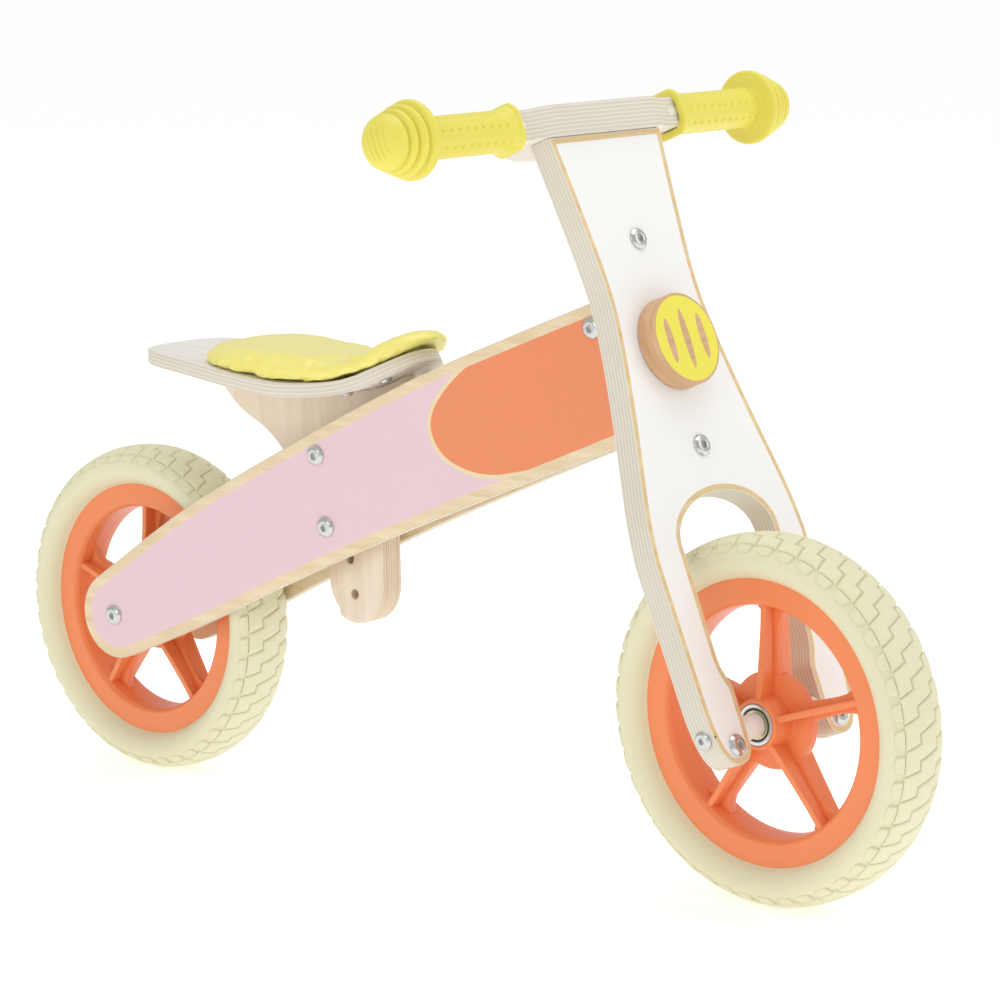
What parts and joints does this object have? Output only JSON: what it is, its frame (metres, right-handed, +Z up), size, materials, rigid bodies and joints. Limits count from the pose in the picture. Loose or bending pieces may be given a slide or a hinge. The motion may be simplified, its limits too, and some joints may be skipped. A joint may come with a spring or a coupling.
{
  "type": "balance bike",
  "caption": "Wooden balance bike: splayed plywood side panels on a rear wheel, a steered plywood fork board with a wheel arch, padded saddle and soft grips.",
  "frame": {"origin": "middle of the bike on the floor, half way between the two wheels and on its centre plane", "axes": "+X forward, +Y to the rider's left, +Z up"},
  "size_m": [0.848, 0.4126, 0.5371],
  "materials": {
    "ply_white": "white satin paint on the faces, bare birch plywood edges",
    "ply_pink": "pale pink and orange print on the faces, bare birch plywood edges",
    "ply_natural": "bare sanded birch plywood",
    "lamp_wood": "turned wood with a yellow painted face",
    "grip_rubber": "matt soft moulded rubber",
    "cushion_cover": "satin synthetic leather",
    "rim_plastic": "semi-gloss moulded plastic",
    "tyre_foam": "matt moulded foam",
    "nylon": "satin moulded nylon",
    "zinc_steel": "bright zinc plated steel"
  },
  "bodies": {
    "frame": {"head_lower_bolt": "zinc_steel", "head_lower_nut": "zinc_steel", "head_tube": "zinc_steel", "head_upper_bolt": "zinc_steel", "head_upper_nut": "zinc_steel", "panel_left": "ply_pink", "panel_right": "ply_pink", "post_cheek_left": "ply_natural", "post_cheek_right": "ply_natural", "post_core": "ply_natural", "post_lower_bolt": "zinc_steel", "post_lower_nut": "zinc_steel", "post_upper_bolt": "zinc_steel", "post_upper_nut": "zinc_steel", "post_wedge_left": "ply_natural", "post_wedge_right": "ply_natural", "rear_axle": "zinc_steel", "rear_axle_bolt_left": "zinc_steel", "rear_axle_bolt_right": "zinc_steel", "rear_bearing_inner_left": "zinc_steel", "rear_bearing_inner_right": "zinc_steel", "rear_spacer_left": "nylon", "rear_spacer_right": "nylon", "seat_cushion": "cushion_cover", "seat_plate": "ply_natural", "seat_screw_front_left": "zinc_steel", "seat_screw_front_right": "zinc_steel", "seat_screw_rear_left": "zinc_steel", "seat_screw_rear_right": "zinc_steel"},
    "fork": {"fork_board": "ply_white", "headlight_disc": "lamp_wood", "pivot_block_lower": "ply_natural", "pivot_block_upper": "ply_natural", "steering_pin": "zinc_steel", "thrust_washer_lower": "nylon", "thrust_washer_upper": "nylon", "fork_upper_bolt": "zinc_steel", "fork_upper_nut": "zinc_steel", "fork_lower_bolt": "zinc_steel", "fork_lower_nut": "zinc_steel", "handlebar": "ply_white", "grip_right": "grip_rubber", "grip_left": "grip_rubber", "front_axle": "zinc_steel", "front_axle_bolt_right": "zinc_steel", "front_axle_bolt_left": "zinc_steel", "leg_bolt_right": "zinc_steel", "leg_bolt_left": "zinc_steel", "front_bearing_inner_right": "zinc_steel", "front_bearing_inner_left": "zinc_steel", "front_spacer_right": "nylon", "front_spacer_left": "nylon"},
    "front_wheel": {"front_bearing_outer_left": "zinc_steel", "front_bearing_outer_right": "zinc_steel", "front_rim": "rim_plastic", "front_tyre": "tyre_foam"},
    "rear_wheel": {"rear_tyre": "tyre_foam", "rear_rim": "rim_plastic", "rear_bearing_outer_right": "zinc_steel", "rear_bearing_outer_left": "zinc_steel"}
  },
  "joints": [
    {"name": "steering", "type": "hinge", "parent": "frame", "child": "fork", "pos_m": [0.28135, 0, 0.11797], "axis": [-0.3697, 0, 0.9291], "range_deg": [-35, 35]},
    {"name": "front_wheel_spin", "type": "hinge", "parent": "fork", "child": "front_wheel", "pos_m": [0.299, 0, 0.125], "axis": [0, 1, 0], "continuous": true},
    {"name": "rear_wheel_spin", "type": "hinge", "parent": "frame", "child": "rear_wheel", "pos_m": [-0.299, 0, 0.125], "axis": [0, 1, 0], "continuous": true}
  ]
}
